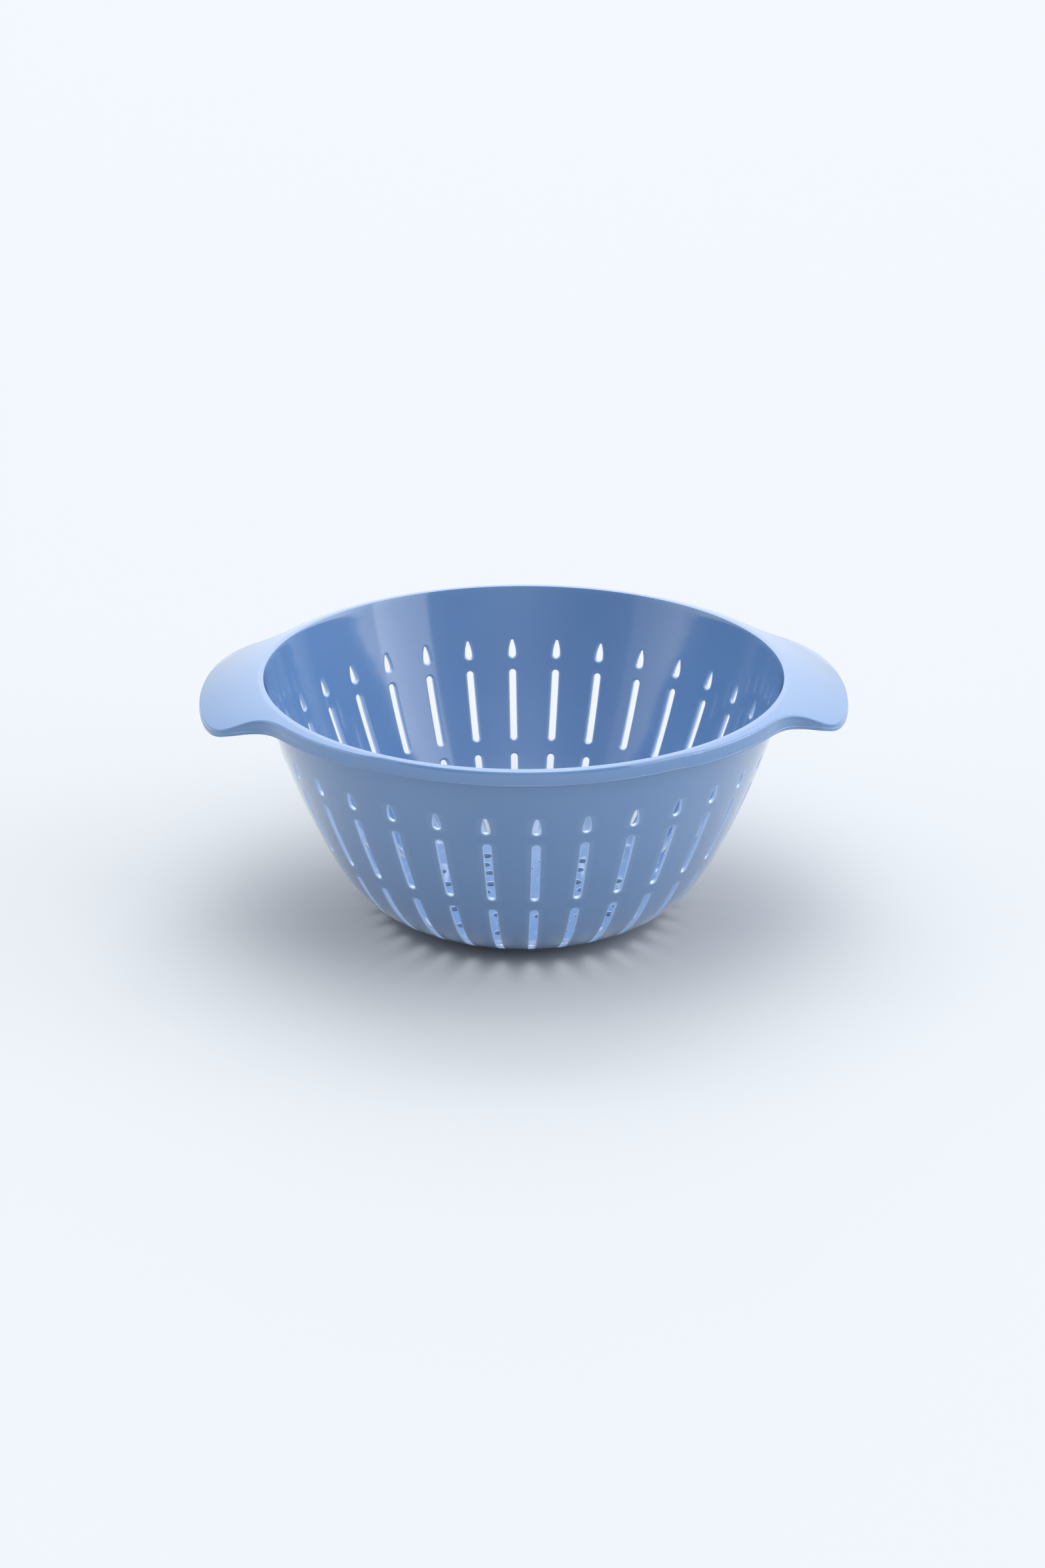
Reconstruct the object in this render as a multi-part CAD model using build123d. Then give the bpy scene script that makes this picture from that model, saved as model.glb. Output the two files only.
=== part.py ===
from build123d import *
import os
import math

# ---------------------------------------------------------------- dimensions (mm)
# Frame: Z up, origin on the resting face of the foot at the bowl's axis,
# X runs through both handles.

foot_height = 2.7            # underside of the floor above the resting face
bowl_depth = 114.4           # rim plane down to the underside of the floor
z_rim = foot_height + bowl_depth   # height of the rim plane, 117.1
wall_t = 2.0                 # thickness of the bowl wall
floor_t = 2.2                # thickness of the floor

# Outer profile of the bowl: radius, and height against the rim plane.
outer_profile = [
    (121.54, -1.70), (120.11, -7.67), (118.60, -13.48), (117.01, -19.18),
    (115.33, -24.80), (113.58, -30.36), (111.75, -35.86), (109.84, -41.33),
    (107.84, -46.78), (105.74, -52.21), (103.53, -57.63), (101.19, -63.06),
    (98.74, -68.52), (96.18, -74.03), (93.50, -79.61), (90.61, -85.21),
    (87.38, -90.71), (83.75, -95.99), (79.61, -100.90), (74.94, -105.26),
    (69.70, -108.90), (63.91, -111.62), (57.70, -113.38), (51.60, -114.20),
    (46.00, -114.40),
]

wall_top = -2.0              # where the wall ends and the rim begins
base_radius = 52.5           # where the wall ends and the floor begins

# Openings: columns round the wall, three openings in each column.
slot_columns = 32
slot_phase = 1.4             # degrees, first column counted from the handle axis
slot_width = 3.3
drop_top, drop_bottom = (115.05, -25.72), (112.15, -34.67)    # tear-shaped opening
long_top, long_bottom = (110.40, -39.76), (96.61, -73.12)     # long slot
low_top, low_bottom = (93.86, -78.88), (66.60, -110.45)       # lower slot
drop_width = 3.5
drop_tip = 0.55              # radius of the tear's upper tip

# Floor holes: radius of the ring, number of holes, angle of the first hole.
hole_radius = 2.5
hole_rings = [(18.2, 12, 27.0), (28.0, 18, 4.0), (37.4, 24, 13.5), (46.6, 30, 3.0)]

# Foot ring, with low notches that let water out.
foot_inner, foot_outer = 49.9, 52.1
notch_width, notch_height = 14.0, 1.6

# Rim and handles.
rim_outer = 124.0            # outer radius of the rim away from the handles
plate_t = 2.12               # thickness of the top plate
skirt_t = 1.7                # thickness of the downturned skirt
crest_radius = 122.34        # the top is level up to here, then droops
inner_edge = 119.75          # radius of the rim's inner edge
inner_round = 0.9            # rounding of the inner edge
edge_round = 1.3             # rounding of the outer top edge
handle_join = 124.5          # radius where a handle meets the rim
handle_half_angle = 33.0     # half of the angle over which a handle meets the rim
# Outline of one quarter of the rim and handle in plan, from the rim to the tip.
rim_leave = (62.00, 107.39)
handle_outline = [
    (72.93, 101.58), (81.67, 95.48), (88.94, 89.43), (94.95, 83.54),
    (99.20, 78.85), (103.00, 74.05), (106.40, 69.45), (109.45, 65.05),
    (112.45, 61.00), (115.50, 57.60), (119.25, 54.85), (123.57, 53.35),
    (127.94, 52.95), (132.02, 52.75), (135.89, 51.35), (139.23, 48.62),
    (141.75, 45.10), (143.67, 40.93), (145.25, 36.60), (146.45, 31.90),
    (147.65, 25.80), (148.65, 18.80), (149.45, 10.50), (149.86, 0.00),
]
# Lower edge of the skirt against the rim plane, by distance past the crest.
skirt_bottom = [(0.0, -6.0), (3.0, -7.0), (7.0, -8.4), (11.0, -9.2), (16.0, -9.8),
                (22.0, -10.7), (26.0, -12.6), (30.0, -13.6)]


def droop(rho):
    """Height of the top surface against the rim plane, at a radius."""
    e = max(rho - crest_radius, 0.0)
    return 0.12 - 0.201 * e - 0.006 * e * e


def pt(r, z):
    """A point of a section, from a radius and a height against the rim plane."""
    return (r, 0, z + z_rim)


def section(*edges):
    """A body of revolution; its seam lies on the front, clear of the handles."""
    return Rot(0, 0, -90) * revolve(make_face(list(edges)), axis=Axis.Z)


# ---------------------------------------------------------------- bowl profile
def moved_inwards(points, dists):
    out = []
    for i, (r, z) in enumerate(points):
        a = points[max(i - 1, 0)]
        b = points[min(i + 1, len(points) - 1)]
        tr, tz = b[0] - a[0], b[1] - a[1]
        n = math.hypot(tr, tz)
        out.append((r + tz / n * dists[i], z - tr / n * dists[i]))
    return out


def thickness(z):
    """Wall thickness, easing to the thickness of the floor at the bottom."""
    k = min(max((-z - 100.0) / 12.0, 0.0), 1.0)
    return wall_t + (floor_t - wall_t) * k


inner_profile = moved_inwards(outer_profile, [thickness(z) for r, z in outer_profile])
inner_profile[-1] = (outer_profile[-1][0], outer_profile[-1][1] + floor_t)

po = [pt(r, z) for r, z in outer_profile]
pi = [pt(r, z) for r, z in inner_profile]
start = (po[1][0] - po[0][0], 0, po[1][2] - po[0][2])
back = (pi[0][0] - pi[1][0], 0, pi[0][2] - pi[1][2])
bottom_o, bottom_i = (0, 0, po[-1][2]), (0, 0, pi[-1][2])
shell = section(
    Spline(*po, tangents=[start, (-1, 0, 0)]),
    Line(po[-1], bottom_o),
    Line(bottom_o, bottom_i),
    Line(bottom_i, pi[-1]),
    Spline(*reversed(pi), tangents=[(1, 0, 0), back]),
    Line(pi[0], po[0]),
)

wall_zone = Pos(0, 0, (z_rim + wall_top) / 2) * Cylinder(140.0, z_rim + wall_top)
floor_zone = Pos(0, 0, 15.0) * Cylinder(base_radius, 40.0)
wall = (shell & wall_zone) - floor_zone
floor = shell & floor_zone


# ---------------------------------------------------------------- wall openings
def normal_at(p):
    """Outward normal of the profile, as its radius and height parts."""
    best = min(range(1, len(outer_profile) - 1),
               key=lambda i: math.hypot(outer_profile[i][0] - p[0], outer_profile[i][1] - p[1]))
    a, b = outer_profile[best - 1], outer_profile[best + 1]
    tr, tz = b[0] - a[0], b[1] - a[1]
    n = math.hypot(tr, tz)
    return (-tz / n, tr / n)


def along(p, q, dist):
    """The point at a distance from p towards q."""
    n = math.hypot(q[0] - p[0], q[1] - p[1])
    return (p[0] + (q[0] - p[0]) * dist / n, p[1] + (q[1] - p[1]) * dist / n)


def wall_plane(p):
    """Plane in the middle of the wall, its normal outwards and its x sideways."""
    nr, nz = normal_at(p)
    centre = (p[0] - nr * wall_t / 2, 0, p[1] - nz * wall_t / 2 + z_rim)
    return Plane(origin=centre, x_dir=(0, 1, 0), z_dir=(nr, 0, nz))


reach = 1.6                  # how far a cutting shape stands out of the wall


def slot_shape(top, bottom, width):
    """Cutting shapes of a slot: a plate in the radial plane and two round ends."""
    run = [top] + [p for p in outer_profile if bottom[1] + 1.2 < p[1] < top[1] - 1.2] + [bottom]
    a = along(run[0], run[1], width / 2)
    b = along(run[-1], run[-2], width / 2)
    path = [a] + run[1:-1] + [b]
    outside, inside = [], []
    for p in path:
        nr, nz = normal_at(p)
        outside.append(pt(p[0] + nr * reach, p[1] + nz * reach))
        inside.append(pt(p[0] - nr * (reach + wall_t), p[1] - nz * (reach + wall_t)))
    ring = outside + inside[::-1]
    plate = extrude(make_face(Polyline(*ring, close=True)), amount=width / 2, dir=(0, 1, 0), both=True)
    ends = [wall_plane(p) * Cylinder(width / 2, wall_t + 2 * reach) for p in (a, b)]
    return plate + ends[0] + ends[1]


def drop_shape(top, bottom, width):
    """Cutting shape of the tear: a round lower end and a narrow upper tip."""
    mid = ((top[0] + bottom[0]) / 2, (top[1] + bottom[1]) / 2)
    plane = wall_plane(mid)
    h = math.hypot(top[0] - bottom[0], top[1] - bottom[1]) / 2
    s = 1.0 if plane.y_dir.Z > 0 else -1.0
    w, t = width / 2, drop_tip
    edges = [
        Spline((-t * 0.95, s * (h - t * 0.8)), (-1.22, s * (h - 2.9)), (-w, s * (w - h)),
               tangents=[(-0.32, -s), (0, -s)]),
        ThreePointArc((-w, s * (w - h)), (0, -s * h), (w, s * (w - h))),
        Spline((w, s * (w - h)), (1.22, s * (h - 2.9)), (t * 0.95, s * (h - t * 0.8)),
               tangents=[(0, s), (-0.32, s)]),
        ThreePointArc((t * 0.95, s * (h - t * 0.8)), (0, s * h), (-t * 0.95, s * (h - t * 0.8))),
    ]
    return extrude(plane * make_face(edges), amount=wall_t / 2 + reach, both=True)


column = [
    drop_shape(drop_top, drop_bottom, drop_width),
    slot_shape(long_top, long_bottom, slot_width),
    slot_shape(low_top, low_bottom, slot_width),
]
cutters = []
for k in range(slot_columns):
    turn = Rot(0, 0, slot_phase + 360.0 / slot_columns * k)
    cutters += [turn * shape for shape in column]
bowl_wall = wall - cutters

# ---------------------------------------------------------------- floor and foot
holes = []
for radius, count, phase in hole_rings:
    for k in range(count):
        a = math.radians(phase + 360.0 / count * k)
        holes.append(Pos(radius * math.cos(a), radius * math.sin(a), 5.0) * Cylinder(hole_radius, 12.0))
base = floor - holes

foot = Pos(0, 0, 2.0) * Cylinder(foot_outer, 4.0) - Pos(0, 0, 2.0) * Cylinder(foot_inner, 5.0)
foot_mid = (foot_inner + foot_outer) / 2
notches = [Rot(0, 0, a) * Pos(foot_mid, 0, 0) * Box(9.0, notch_width, 2 * notch_height)
           for a in (45, 135, 225, 315)]
foot_ring = foot - floor - notches


# ---------------------------------------------------------------- rim and handles
def outline(inset):
    """Closed plan outline of rim and handles, moved inwards by a distance."""
    quarter = [rim_leave] + handle_outline
    half = quarter + [(x, -y) for x, y in quarter[-2::-1]]
    k = rim_outer - inset
    moved = []
    for i, (x, y) in enumerate(half):
        if i in (0, len(half) - 1):
            n = math.hypot(x, y)
            moved.append((x / n * k, y / n * k))
            continue
        a, b = half[i - 1], half[i + 1]
        tx, ty = b[0] - a[0], b[1] - a[1]
        n = math.hypot(tx, ty)
        moved.append((x + ty / n * inset, y - tx / n * inset))
    t = (rim_leave[1], -rim_leave[0])
    right = Spline(*moved, tangents=[t, (-t[0], t[1])])
    left = Spline(*[(-x, -y) for x, y in moved], tangents=[(-t[0], -t[1]), (t[0], -t[1])])
    lower = ThreePointArc(moved[-1], (0, -k), (-moved[-1][0], moved[-1][1]))
    upper = ThreePointArc((-moved[0][0], moved[0][1]), (0, k), moved[0])
    return make_face([right, lower, left, upper])


def prism(inset):
    return extrude(Pos(0, 0, z_rim - 30.0) * outline(inset), amount=40.0, dir=(0, 0, 1))


def runs(points):
    return [Line(a, b) for a, b in zip(points, points[1:])]


far = 152.0                  # radius that clears the handles' tips
mid = (crest_radius + far) / 2
slope = (inner_profile[0][0] - inner_profile[1][0]) / (inner_profile[0][1] - inner_profile[1][1])
wall_in = inner_profile[0][0] + slope * (wall_top - inner_profile[0][1])
gap_r = 122.0                # inner radius of the space behind the skirt
k = 1 - math.sqrt(0.5)

low = [pt(crest_radius + e, z) for e, z in skirt_bottom if crest_radius + e < far]
low.append(pt(far, skirt_bottom[-1][1]))
crown_body = section(
    Line(pt(wall_in, wall_top), pt(inner_edge, -inner_round)),
    ThreePointArc(pt(inner_edge, -inner_round),
                  pt(inner_edge + inner_round * k, -inner_round * k),
                  pt(inner_edge + inner_round, 0.0)),
    Line(pt(inner_edge + inner_round, 0.0), pt(crest_radius, droop(crest_radius))),
    ThreePointArc(pt(crest_radius, droop(crest_radius)), pt(mid, droop(mid)), pt(far, droop(far))),
    Line(pt(far, droop(far)), low[-1]),
    *runs(low[::-1]),
    *runs([low[0], pt(gap_r, skirt_bottom[0][1]), pt(gap_r, wall_top), pt(wall_in, wall_top)]),
)
under = [(r, droop(r) - plate_t) for r in (crest_radius, mid, far)]
hollow = section(
    *runs([pt(far, under[2][1]), pt(far, -28.0), pt(gap_r, -28.0), pt(gap_r, wall_top), pt(*under[0])]),
    ThreePointArc(*[pt(*p) for p in under]),
)
crown = (crown_body & prism(0.0)) - (hollow & prism(skirt_t))


def on_top_rim(edge):
    """The long outer edges between the top surface and the skirt's outer face."""
    p = edge.position_at(0.37)
    r = math.hypot(p.X, p.Y)
    return edge.length > 60 and r > 123.5 and abs(p.Z - z_rim - droop(r)) < 0.3


crown = fillet([edge for edge in crown.edges() if on_top_rim(edge)], edge_round)


def handle_zone(side):
    """The space of one handle: a wedge of angle outside the rim."""
    a = math.radians(handle_half_angle)
    tip = 200 * math.cos(a) * side, 200 * math.sin(a)
    wedge = make_face(Polyline((0, 0), tip, (tip[0], -tip[1]), close=True))
    block = extrude(Pos(0, 0, z_rim - 30.0) * wedge, amount=40.0, dir=(0, 0, 1))
    return block - Pos(0, 0, z_rim - 10.0) * Rot(0, 0, 90) * Cylinder(handle_join, 50.0)


right_handle = crown & handle_zone(1)
left_handle = crown & handle_zone(-1)
rim = crown - handle_zone(1) - handle_zone(-1)

# ---------------------------------------------------------------- write
os.makedirs("parts", exist_ok=True)
for name, shape in [("bowl_wall", bowl_wall), ("base", base), ("foot_ring", foot_ring),
                    ("rim", rim), ("left_handle", left_handle), ("right_handle", right_handle)]:
    solids = shape.solids()
    print(name, len(solids), round(sum(s.volume for s in solids), 1), shape.bounding_box())
    export_step(solids[0] if len(solids) == 1 else Compound(children=solids), "parts/%s.step" % name)
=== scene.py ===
import math
import bpy
import numpy as np
from mathutils import Matrix, Vector


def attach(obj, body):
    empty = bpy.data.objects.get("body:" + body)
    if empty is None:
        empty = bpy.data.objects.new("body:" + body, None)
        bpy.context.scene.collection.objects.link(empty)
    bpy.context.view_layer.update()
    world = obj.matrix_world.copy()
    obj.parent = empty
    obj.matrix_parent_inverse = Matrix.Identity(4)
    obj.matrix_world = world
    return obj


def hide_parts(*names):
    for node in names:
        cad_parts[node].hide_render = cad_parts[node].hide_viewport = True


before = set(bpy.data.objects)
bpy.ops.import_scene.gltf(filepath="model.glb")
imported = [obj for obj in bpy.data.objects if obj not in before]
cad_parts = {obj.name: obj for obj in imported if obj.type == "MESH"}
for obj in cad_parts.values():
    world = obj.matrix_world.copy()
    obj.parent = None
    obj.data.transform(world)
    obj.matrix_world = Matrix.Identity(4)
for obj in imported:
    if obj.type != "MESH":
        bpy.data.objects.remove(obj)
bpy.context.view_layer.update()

# ---------------------------------------------------------------- dimensions (mm)
# Heights of the bowl and the rim are counted from the rim plane, as in the CAD.
Z_RIM = 117.1
COLUMNS, PHASE = 32, 1.4
WALL_TOP = -2.0
BASE_R = 52.5
PROFILE = [
    (121.54, -1.70), (120.11, -7.67), (118.60, -13.48), (117.01, -19.18),
    (115.33, -24.80), (113.58, -30.36), (111.75, -35.86), (109.84, -41.33),
    (107.84, -46.78), (105.74, -52.21), (103.53, -57.63), (101.19, -63.06),
    (98.74, -68.52), (96.18, -74.03), (93.50, -79.61), (90.61, -85.21),
    (87.38, -90.71), (83.75, -95.99), (79.61, -100.90), (74.94, -105.26),
    (69.70, -108.90), (63.91, -111.62), (57.70, -113.38), (51.60, -114.20),
    (46.00, -114.40),
]
TEAR = (-26.10, -34.29)          # heights of the openings' upper and lower ends
LONG = (-40.18, -72.52)
LOW = (-78.88, -110.45)
SLOT_W, TEAR_W = 3.15, 3.35
HOLE_R = 2.5
HOLES = [(18.2, 12, 27.0), (28.0, 18, 4.0), (37.4, 24, 13.5), (46.6, 30, 3.0)]
HOLE_ZONES = [13.4, 23.1, 32.7, 42.0, 50.9]
FOOT_IN, FOOT_OUT, NOTCH_W, NOTCH_H = 49.9, 52.1, 14.0, 1.6
RIM_LEAVE = (62.00, 107.39)
HANDLE = [
    (72.93, 101.58), (81.67, 95.48), (88.94, 89.43), (94.95, 83.54),
    (99.20, 78.85), (103.00, 74.05), (106.40, 69.45), (109.45, 65.05),
    (112.45, 61.00), (115.50, 57.60), (119.25, 54.85), (123.57, 53.35),
    (127.94, 52.95), (132.02, 52.75), (135.89, 51.35), (139.23, 48.62),
    (141.75, 45.10), (143.67, 40.93), (145.25, 36.60), (146.45, 31.90),
    (147.65, 25.80), (148.65, 18.80), (149.45, 10.50), (149.86, 0.00),
]
RIM_R, CREST, PLATE_T, SKIRT_T, GAP_R, JOIN_R = 124.0, 122.34, 2.12, 1.7, 122.0, 124.5
SKIRT_LOW = [(0.0, -6.0), (3.0, -7.0), (7.0, -8.4), (11.0, -9.2), (16.0, -9.8),
             (22.0, -10.7), (26.0, -12.6), (30.0, -13.6)]


# ---------------------------------------------------------------- mesh kit
class Shell:
    """Grids of points with their normals, welded into one closed mesh. Each point also carries a painted glow
    value: how much paler its colour is drawn at an opening's edge, standing in for light coming through the
    plastic."""

    def __init__(self):
        self.points, self.normals, self.thin, self.faces, self.odd, self.count = [], [], [], [], [], 0

    def _put(self, p, n, thin=0.0):
        self.points.append(p)
        self.normals.append(n)
        self.thin.append(np.broadcast_to(thin, len(p)))
        self.count += len(p)
        return self.count - len(p)

    def grid(self, points, normals, ring=False, thin=None):
        p = np.asarray(points, float)
        n = np.broadcast_to(np.asarray(normals, float), p.shape)
        rows, cols = p.shape[:2]
        t = np.zeros(rows) if thin is None else np.asarray(thin, float)
        start = self._put(p.reshape(-1, 3), n.reshape(-1, 3), np.repeat(t, cols))
        idx = np.arange(rows * cols).reshape(rows, cols)
        if ring:
            idx = np.concatenate([idx, idx[:, :1]], axis=1)
        q = np.stack([idx[:-1, :-1], idx[:-1, 1:], idx[1:, 1:], idx[1:, :-1]], -1).reshape(-1, 4)
        pf, nf = p.reshape(-1, 3), n.reshape(-1, 3)
        out = np.cross(pf[q[:, 2]] - pf[q[:, 0]], pf[q[:, 3]] - pf[q[:, 1]])
        if (out * nf[q].sum(axis=1)).sum() < 0:
            q = q[:, ::-1]
        self.faces.append(q + start)

    def outline(self, points, normal):
        """One flat face inside a closed line of points."""
        p = np.asarray(points, float)
        n = np.broadcast_to(np.asarray(normal, float), p.shape)
        area = np.zeros(3)
        for i in range(1, len(p) - 1):
            area += np.cross(p[i] - p[0], p[i + 1] - p[0])
        start = self._put(p, n)
        order = list(range(start, start + len(p)))
        self.odd.append(order if np.dot(area, n[0]) > 0 else order[::-1])

    def turned(self, degrees_list):
        """The same faces again, turned about the axis by each angle."""
        p, n, q = np.concatenate(self.points), np.concatenate(self.normals), np.concatenate(self.faces)
        thin = np.concatenate(self.thin)
        self.points, self.normals, self.thin, self.faces, self.count = [], [], [], [], 0
        for d in degrees_list:
            c, s = math.cos(math.radians(d)), math.sin(math.radians(d))
            turn = np.array([[c, s, 0.0], [-s, c, 0.0], [0.0, 0.0, 1.0]])
            start = self._put(p @ turn, n @ turn, thin)
            self.faces.append(q + start)

    def build(self, name):
        p, n, q = np.concatenate(self.points), np.concatenate(self.normals), np.concatenate(self.faces)
        key = np.floor(p / 1e-4 + 0.31).astype(np.int64)
        _, first, inverse = np.unique(key, axis=0, return_index=True, return_inverse=True)
        inverse = inverse.reshape(-1)
        w = inverse[q]
        nxt = np.roll(w, -1, axis=1)
        whole = ~(w == nxt).any(axis=1) & (w[:, 0] != w[:, 2]) & (w[:, 1] != w[:, 3])
        faces = w[whole].tolist()
        loops = [q[whole].reshape(-1)]
        for face in [f for f in q[~whole].tolist()] + self.odd:
            kept = [v for i, v in enumerate(face) if inverse[v] != inverse[face[i - 1]]]
            if len(kept) >= 3 and len({int(inverse[v]) for v in kept}) == len(kept):
                faces.append([int(inverse[v]) for v in kept])
                loops.append(np.array(kept))
        loops = np.concatenate(loops)
        mesh = bpy.data.meshes.new(name)
        mesh.from_pydata((p[first] * 0.001).tolist(), [], faces)
        mesh.shade_smooth()
        ln = n[loops]
        ln = ln / np.linalg.norm(ln, axis=1)[:, None]
        mesh.normals_split_custom_set(ln.tolist())
        # per-point amount of painted glow, read by the material to pale the colour at the openings' edges
        mesh.attributes.new("thin", "FLOAT", "POINT").data.foreach_set("value", np.concatenate(self.thin)[first])
        mesh.update()
        obj = bpy.data.objects.new(name, mesh)
        bpy.context.scene.collection.objects.link(obj)
        return obj


class Curve:
    """A smooth plane curve through points, with its end directions, by arc length."""

    def __init__(self, points, start, end, fine=200):
        p = np.array(points, float)
        k = len(p)
        h = np.linalg.norm(np.diff(p, axis=0), axis=1)
        a, b = np.zeros((k, k)), np.zeros((k, 2))
        a[0, 0] = a[-1, -1] = 1.0
        b[0] = np.array(start) / np.linalg.norm(start)
        b[-1] = np.array(end) / np.linalg.norm(end)
        for i in range(1, k - 1):
            a[i, i - 1], a[i, i], a[i, i + 1] = h[i], 2 * (h[i - 1] + h[i]), h[i - 1]
            b[i] = 3 * (h[i] * (p[i] - p[i - 1]) / h[i - 1] + h[i - 1] * (p[i + 1] - p[i]) / h[i])
        m = np.linalg.solve(a, b)
        u = np.linspace(0, 1, fine + 1)[:, None]
        pos, tan = [], []
        for i in range(k - 1):
            f = [2 * u**3 - 3 * u**2 + 1, (u**3 - 2 * u**2 + u) * h[i], -2 * u**3 + 3 * u**2, (u**3 - u**2) * h[i]]
            g = [(6 * u**2 - 6 * u) / h[i], 3 * u**2 - 4 * u + 1, (6 * u - 6 * u**2) / h[i], 3 * u**2 - 2 * u]
            cut = slice(0, None) if i == k - 2 else slice(0, -1)
            pos.append((f[0] * p[i] + f[1] * m[i] + f[2] * p[i + 1] + f[3] * m[i + 1])[cut])
            tan.append((g[0] * p[i] + g[1] * m[i] + g[2] * p[i + 1] + g[3] * m[i + 1])[cut])
        self.p, self.t = np.concatenate(pos), np.concatenate(tan)
        self.t /= np.linalg.norm(self.t, axis=1)[:, None]
        self.s = np.concatenate([[0.0], np.cumsum(np.linalg.norm(np.diff(self.p, axis=0), axis=1))])

    def at(self, s):
        s = np.asarray(s, float)
        out = [np.interp(s, self.s, c) for c in (self.p[:, 0], self.p[:, 1], self.t[:, 0], self.t[:, 1])]
        k = np.hypot(out[2], out[3])
        return out[0], out[1], out[2] / k, out[3] / k


def steps(values, counts):
    """Numbers from each value to the next, in that many equal steps."""
    out = [values[0]]
    for a, b, n in zip(values, values[1:], counts):
        out += [a + (b - a) * (i + 1) / n for i in range(n)]
    return np.array(out)


def smoothed(x, y, width):
    """y over evenly spaced x, averaged over a window with soft ends."""
    n = max(int(width / (x[1] - x[0])) // 2 * 2 + 1, 3)
    k = np.hanning(n + 2)[1:-1]
    k /= k.sum()
    half = n // 2
    left = y[0] + (x[1] - x[0]) * np.arange(-half, 0) * (y[1] - y[0]) / (x[1] - x[0])
    right = y[-1] + np.arange(1, half + 1) * (y[-1] - y[-2])
    return np.convolve(np.concatenate([left, y, right]), k, mode="valid")


# ---------------------------------------------------------------- bowl profile
outer = Curve(PROFILE, (PROFILE[1][0] - PROFILE[0][0], PROFILE[1][1] - PROFILE[0][1]), (-1.0, 0.0))


def s_at_z(z):
    return float(np.interp(-z, -outer.p[:, 1], outer.s))


def thickness(z):
    return 2.0 + 0.2 * np.clip((-z - 100.0) / 12.0, 0.0, 1.0)


def wall(s, depth):
    """Radius and height at a depth under the outer face, and the outward normal."""
    r, z, tr, tz = outer.at(s)
    return r + tz * depth, z - tr * depth, -tz, tr


_z = outer.p[:, 1]
_th = thickness(_z)
inner_r, inner_z = outer.p[:, 0] + outer.t[:, 1] * _th, _z - outer.t[:, 0] * _th


def s_inner(value, by_radius=False):
    if by_radius:
        return float(np.interp(-value, -inner_r, outer.s))
    return float(np.interp(-value, -inner_z, outer.s))


# top surface of rim and handles, and the lower edge of the skirt, by radius
RHO = np.arange(100.0, 156.0, 0.02)
_e = np.maximum(RHO - CREST, 0.0)
_top = np.where(RHO < CREST, 0.10 + 0.010 * (RHO - CREST), 0.10 - 0.201 * _e - 0.006 * _e * _e)
TOP = smoothed(RHO, _top, 1.7)
TOP_SLOPE = np.gradient(TOP, RHO)
_low = np.interp(RHO - CREST, [e for e, z in SKIRT_LOW], [z for e, z in SKIRT_LOW])
_low = np.where(RHO < CREST, -6.0 + (CREST - RHO) / 3.0, _low)
LOW_EDGE = smoothed(RHO, _low, 6.0)


def top_z(rho):
    return np.interp(rho, RHO, TOP)


def top_slope(rho):
    return np.interp(rho, RHO, TOP_SLOPE)


def low_z(rho):
    return np.interp(rho, RHO, LOW_EDGE)


# Rounded inner edge: from the wall, up and over on to the top surface.
EDGE_LOW, EDGE_TOP = -2.7, 120.1
_s0 = s_inner(EDGE_LOW)
_r0, _z0, _nr0, _nz0 = (float(v) for v in wall(_s0, thickness(EDGE_LOW)))
_e0 = np.array([_r0, _z0])
_up = np.array([-_nz0, _nr0])
_e2 = np.array([EDGE_TOP, float(top_z(EDGE_TOP))])
_g = float(top_slope(EDGE_TOP))
_k = (float(top_z(EDGE_TOP)) - _g * (EDGE_TOP - _r0) - _z0) / (_up[1] - _g * _up[0])
_e1 = _e0 + _up * _k


def inner_edge(u):
    """Radius, height and normal on the rounded inner edge, u from 0 to 1."""
    u = np.asarray(u, float)[:, None]
    p = (1 - u) ** 2 * _e0 + 2 * u * (1 - u) * _e1 + u * u * _e2
    t = (1 - u) * (_e1 - _e0) + u * (_e2 - _e1)
    t = t / np.linalg.norm(t, axis=1)[:, None]
    return p[:, 0], p[:, 1], -t[:, 1], t[:, 0]


_u = np.linspace(0, 1, 4001)
U_SPLIT = float(np.interp(WALL_TOP, inner_edge(_u)[1], _u))


def turned_rows(r, z, nr, nz, angles):
    """Rows of points on surfaces of revolution, at angles in radians."""
    r, z, nr, nz = (np.asarray(v, float)[:, None] for v in (r, z, nr, nz))
    c, s = np.cos(angles)[None, :], np.sin(angles)[None, :]
    one = np.ones_like(c)
    return (np.stack([r * c, r * s, (z + Z_RIM) * one], -1),
            np.stack([nr * c, nr * s, nz * one], -1))


# ---------------------------------------------------------------- bowl wall
HALF = math.pi / COLUMNS
NT = 10


def stadium(top, bottom, width, n_side):
    """Outline of a slot: arc length, sideways distance and outward direction."""
    w = width / 2
    a, b = top + w, bottom - w
    cap = math.radians(60)
    al = np.linspace(-cap, cap, NT + 1)
    al2 = np.linspace(cap, math.pi / 2, 3)
    mid = np.linspace(a, b, n_side - 4 + 1)
    s = np.concatenate([a - w * np.cos(al), a - w * np.cos(al2[1:]), mid[1:],
                        b + w * np.cos(al2[::-1][1:])])
    t = np.concatenate([w * np.sin(al), w * np.sin(al2[1:]), np.full(len(mid) - 1, w),
                        w * np.sin(al2[::-1][1:])])
    ds = np.concatenate([-np.cos(al), -np.cos(al2[1:]), np.zeros(len(mid) - 1),
                         np.cos(al2[::-1][1:])])
    dt = np.concatenate([np.sin(al), np.sin(al2[1:]), np.ones(len(mid) - 1),
                         np.sin(al2[::-1][1:])])
    return closed(s, t, ds, dt, b + w * np.cos(al[::-1]), w * np.sin(al[::-1]),
                  np.cos(al[::-1]), np.sin(al[::-1]))


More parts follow.
